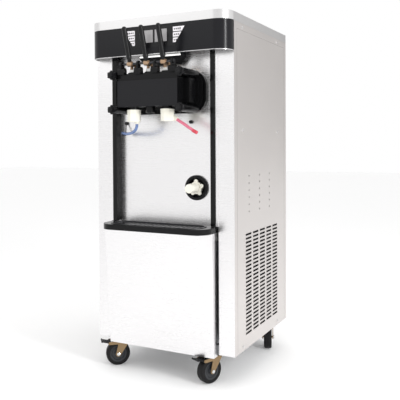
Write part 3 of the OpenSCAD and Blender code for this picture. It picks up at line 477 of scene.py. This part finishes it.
def handle_metal():
    """Brass sleeve over each handle's hub, with hexagon nuts, and a moulded collar on the grip."""
    lean = math.radians(HANDLE_LEAN)
    up = Vector((0, -math.sin(lean), math.cos(lean)))
    for side in DRAWS:
        body = f"{side}_handle"
        pivot = Vector(JOINTS[f"{side}_handle_pull"]["pos_m"])
        bm = bmesh.new()
        add_lathe(bm, mm([(6.4, 17), (9.0, 18), (9.3, 20), (9.3, 27), (8.9, 28.5), (8.6, 28.5)]),
                  pivot, up, 40)
        finish_piece(from_bmesh(f"grip_collar_{side}", bm), body, GRIP_BLACK)
        bm = bmesh.new()
        half = mm([(0, 8.4), (7.9, 8.4), (8.65, 7.6)])
        add_lathe(bm, half + [(r, -x) for r, x in half[::-1]], pivot, (1, 0, 0), 48)
        finish_piece(from_bmesh(f"hub_sleeve_{side}", bm), body, BRASS)
        bm = bmesh.new()
        for s in (-1, 1):
            add_lathe(bm, mm([(0, 11.4), (5.4, 11.4), (6.4, 10.4), (6.4, 8.4), (0, 8.4)]),
                      pivot, (s, 0, 0), 6)
        finish_piece(from_bmesh(f"pivot_nuts_{side}", bm), body, BRASS,
                     smooth=False)


def plunger_yokes():
    """Brass fork over the two ears that rise from each plunger's white collar."""
    for side in DRAWS:
        lo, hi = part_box(f"{side}_plunger")
        middle = (lo + hi) / 2
        collar_top = hi.z - YOKE_DEPTH * MM
        bm = bmesh.new()
        for s in (-1, 1):
            add_slab(bm, middle.x + s * 5.15 * MM, middle.x + s * 9.8 * MM,
                     (middle.y - 6.8 * MM, collar_top), (middle.y + 6.8 * MM, hi.z + 0.5 * MM))
        soften(bm, 0.8 * MM, 3)
        finish_piece(from_bmesh(f"yoke_{side}", bm), f"{side}_plunger", BRASS)


handle_metal()
plunger_yokes()

# ---- casters: tyres, hubs, nuts ----


def add_ring(bm, profile, centre, axis):
    """Closed profile turned round an axis, with its last and first points made one."""
    add_lathe(bm, profile, centre, axis, 72)
    bmesh.ops.remove_doubles(bm, verts=bm.verts, dist=1e-6)


def tyre_profile(radius):
    """Flat tread with round shoulders, down to the hub on both sides."""
    shoulder, flat, half, rim, well = 6 * MM, 9 * MM, 15 * MM, 37 * MM, 30 * MM
    points = [(well, -half), (rim, -half)]
    for middle, angles in ((-flat, range(15, 91, 15)), (flat, range(90, 166, 15))):
        points += [(radius - shoulder + shoulder * math.sin(math.radians(a)),
                    middle - shoulder * math.cos(math.radians(a))) for a in angles]
    return points + [(rim, half), (well, half), (well, -half)]


def caster_wheels():
    """Tyre in place of each CAD wheel, its dished hub, and the nuts on its fork."""
    for corner in ("front_left", "front_right", "rear_left", "rear_right"):
        joint = JOINTS[f"{corner}_wheel_spin"]
        centre, axis = Vector(joint["pos_m"]), Vector(joint["axis"]).normalized()
        node = f"{corner}_wheel"
        bm = bmesh.new()
        add_ring(bm, tyre_profile(centre.z), centre, axis)
        tyre = finish_piece(from_bmesh(f"tyre_{corner}", bm), node, TYRE)
        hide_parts(node)
        bm = bmesh.new()
        side = mm([(4.2, -14.6), (9, -14.6), (10.5, -13.5), (11, -9), (22, -9), (25, -12.5),
                   (30.2, -13.5)])
        add_ring(bm, side + [(r, -d) for r, d in side[::-1]] + [side[0]], centre, axis)
        finish_piece(from_bmesh(f"hub_{corner}", bm), node, HUB)
        bm = bmesh.new()
        for s in (-1, 1):
            add_lathe(bm, mm([(0, 25.6), (3.5, 25.6), (6.2, 24.6), (6.2, 21.1), (0, 21.1)]),
                      centre, axis * s, 6)
        finish_piece(from_bmesh(f"axle_nuts_{corner}", bm), f"{corner}_fork", PIN_STEEL,
                     smooth=False)


caster_wheels()

# ---- cabinet details ----

# Side grille, mm: the same values as the vents in part.scad
VENT_COLUMNS, VENT_ROWS = 5, 26
VENT_PITCH_Y, VENT_PITCH_Z = 65, 13.5
VENT_L, VENT_H = 50, 7
VENT_FIRST_Y, VENT_FIRST_Z = 94, 48


def crease_shade_lines():
    """Folded border round each side panel, its fold lines drawn as thin dark strips of painted
    shade.
    """
    thick, out = 1.0 * MM, 0.12 * MM
    front, top = side_lo.y + 22 * MM, side_hi.z - 24 * MM
    for s, name in SIDES:
        x0, x1 = s * (HALF_W - 0.2 * MM), s * (HALF_W + out)
        bm = bmesh.new()
        for y in (front, side_hi.y - 24 * MM):
            add_slab(bm, x0, x1, (y, side_lo.z + 4 * MM), (y + thick, top))
        add_slab(bm, x0, x1, (front, top), (side_hi.y - 23 * MM, top + thick))
        finish_piece(from_bmesh(f"crease_shade_strip_{name}", bm), CABINET, CREASE_SHADE,
                     smooth=False)


def shade_behind_vents():
    """Black sheet behind each side grille, painted shade for the dark inside seen through the
    slots.
    """
    for s, name in SIDES:
        bm = bmesh.new()
        add_slab(bm, s * (HALF_W - 6.5 * MM), s * (HALF_W - 5.5 * MM),
                 (side_lo.y + 80 * MM, side_lo.z + 40 * MM),
                 (side_lo.y + 420 * MM, side_lo.z + 410 * MM))
        finish_piece(from_bmesh(f"vent_shade_sheet_{name}", bm), CABINET, MATTE_BLACK,
                     smooth=False)


def vent_lips():
    """Thin pressed rim round every slot of the side grilles."""
    sizes = (VENT_PITCH_Y, VENT_PITCH_Z, VENT_L, VENT_H)
    pitch_y, pitch_z, slot_l, slot_h = (size * MM for size in sizes)
    first_y, first_z = FRONT + VENT_FIRST_Y * MM, side_lo.z + VENT_FIRST_Z * MM
    rim, out = 0.9 * MM, 0.5 * MM
    for s, name in SIDES:
        bm = bmesh.new()
        x0, x1 = s * (HALF_W - 0.1 * MM), s * (HALF_W + out)
        for column in range(VENT_COLUMNS):
            for row in range(VENT_ROWS):
                y, z = first_y + column * pitch_y, first_z + row * pitch_z
                add_slab(bm, x0, x1, (y - rim, z - rim), (y + slot_l + rim, z))
                add_slab(bm, x0, x1, (y - rim, z + slot_h), (y + slot_l + rim, z + slot_h + rim))
                add_slab(bm, x0, x1, (y - rim, z), (y, z + slot_h))
                add_slab(bm, x0, x1, (y + slot_l, z), (y + slot_l + rim, z + slot_h))
        finish_piece(from_bmesh(f"vent_lips_{name}", bm), CABINET, STEEL_SIDE,
                     smooth=False)


def star_knob_caps():
    """Domed centre button on each star knob."""
    for height in ("upper", "lower"):
        for side in ("left", "right"):
            node = f"star_knob_{height}_{side}"
            bm = bmesh.new()
            add_lathe(bm, mm([(0, 2.2), (3, 1.9), (5.6, 0.8), (6.4, 0), (6.4, -0.6)]),
                      face_centre(node), (0, -1, 0), 32)
            finish_piece(from_bmesh(f"cap_{node}", bm), node, MATTE_BLACK)


def leak_drawer_rings():
    """Raised rings on the leak bezel and a domed end on the drawer's tube."""
    centre = face_centre("leak_bezel")
    bm = bmesh.new()
    for outer, inner in ((42.2, 39.6), (35.4, 33.2)):
        add_lathe(bm, mm([(inner, 0), (inner, 1.0), (inner + 0.6, 1.5), (outer - 0.6, 1.5),
                          (outer, 0.8), (outer, 0)]), centre, (0, -1, 0), 64)
    finish_piece(from_bmesh("bezel_rings", bm), CABINET, MATTE_BLACK)
    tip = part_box("leak_drawer")[0].y + 2.6 * MM
    bm = bmesh.new()
    add_lathe(bm, mm([(0, 2.5), (7, 2.2), (12, 1.2), (14.4, -0.4), (15.2, -2.4), (15.2, -5),
                      (14.9, -5.4)]), (centre.x, tip, centre.z), (0, -1, 0), 48)
    finish_piece(from_bmesh("drawer_end", bm), "leak_drawer", IVORY)


def gland_ribs():
    """Grip ribs round the gland's cap nut."""
    ribs = 12
    centre = face_centre("cord_gland", rear=True)
    bm = bmesh.new()
    for k in range(ribs):
        turn = Matrix.Translation(centre) @ Matrix.Rotation(math.radians(360 // ribs * k), 4, "Y")
        add_block(bm, (-1 * MM, -7.6 * MM, 7.6 * MM), (1 * MM, -1.2 * MM, 8.9 * MM), turn)
    finish_piece(from_bmesh("gland_ribs", bm), CABINET, MATTE_BLACK, smooth=False)


def spout_rings():
    """Moulded bands round the white caps."""
    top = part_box("spout_fittings")[1].z
    for _, side in SIDES:
        plo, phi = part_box(f"{side}_plunger")
        middle = (plo + phi) / 2
        bm = bmesh.new()
        for z in (top - 4 * MM, top - 12 * MM):
            add_lathe(bm, mm([(21.6, 0), (23.8, 0.4), (23.8, 2.2), (21.6, 2.6)]),
                      (middle.x, middle.y, z), (0, 0, 1), 48)
        finish_piece(from_bmesh(f"cap_bands_{side}", bm), CABINET, IVORY)


crease_shade_lines()
shade_behind_vents()
vent_lips()
star_knob_caps()
leak_drawer_rings()
gland_ribs()
spout_rings()

# ---- stage and light ----

WALL_GREY = (0.16, 0.15, 0.145)
FLOOR_GLOW = 0.10


def make_stage():
    """White floor that glows a little, so that it reads as white out to the horizon."""
    bpy.ops.mesh.primitive_plane_add(size=30, location=(0, 0, 0))
    floor = bpy.context.object
    floor.name = "floor"
    white = surface("floor_white", (0.9, 0.9, 0.9), 0.8, 0.0, 0.03, (20, 20, 20), 0.02,
                    patch_tone=0.01, specular=0.1)
    add_glow(white, (1, 1, 1, 1), FLOOR_GLOW)
    floor.data.materials.append(white)
    bpy.context.scene.view_settings.view_transform = "Standard"


def softbox(name, place, target, size, power):
    """Rectangular area light at a place, turned to its target; metres and watts."""
    data = bpy.data.lights.new(name, "AREA")
    data.shape = "RECTANGLE"
    data.size, data.size_y = size
    data.energy = power
    light = bpy.data.objects.new(name, data)
    bpy.context.scene.collection.objects.link(light)
    light.location = place
    light.rotation_euler = (Vector(target) - Vector(place)).to_track_quat("-Z", "Y").to_euler()


def ramp(tree, value, start, end, to_start, to_end):
    """Smooth step of a value, clamped at both ends."""
    node = tree.nodes.new("ShaderNodeMapRange")
    node.interpolation_type = "SMOOTHSTEP"
    for socket, number in (("From Min", start), ("From Max", end),
                           ("To Min", to_start), ("To Max", to_end)):
        node.inputs[socket].default_value = number
    tree.links.new(value, node.inputs["Value"])
    return node.outputs["Result"]


def multiply(tree, a, b):
    """Product of two node outputs."""
    node = tree.nodes.new("ShaderNodeMath")
    node.operation = "MULTIPLY"
    tree.links.new(a, node.inputs[0])
    tree.links.new(b, node.inputs[1])
    return node.outputs[0]


def make_world():
    """White studio with one grey wall behind and to the right, which the side panel mirrors."""
    world = bpy.data.worlds.new("studio")
    bpy.context.scene.world = world
    world.use_nodes = True
    tree = world.node_tree
    place = tree.nodes.new("ShaderNodeTexCoord")
    axes = tree.nodes.new("ShaderNodeSeparateXYZ")
    tree.links.new(place.outputs["Generated"], axes.inputs["Vector"])
    # Parts of the direction looked in: each ramp is 1 where the grey wall stands
    behind = ramp(tree, axes.outputs["Y"], 0.2, 0.7, 0, 1)
    right = ramp(tree, axes.outputs["X"], -0.02, 0.12, 0, 1)
    not_far = ramp(tree, axes.outputs["X"], 0.26, 0.46, 1, 0)
    high = ramp(tree, axes.outputs["Z"], -0.12, 0.22, 0.55, 1)
    grey = multiply(tree, multiply(tree, behind, high), multiply(tree, right, not_far))
    tone = tree.nodes.new("ShaderNodeMix")
    tone.data_type = "RGBA"
    tone.inputs["A"].default_value = (1, 1, 1, 1)
    tone.inputs["B"].default_value = (*WALL_GREY, 1)
    tree.links.new(grey, tone.inputs["Factor"])
    background = tree.nodes["Background"]
    tree.links.new(tone.outputs["Result"], background.inputs["Color"])
    background.inputs["Strength"].default_value = 1.0


make_stage()
make_world()
softbox("key_light", (-1.6, -2.6, 2.4), (0, 0, 0.7), (1.6, 1.6), 5)
softbox("top_light", (0.2, 0.0, 3.4), (0, 0, 0.6), (2.2, 2.2), 12)
softbox("rim_light", (2.3, -0.9, 1.3), (0.1, -0.3, 0.97), (0.25, 1.4), 30)
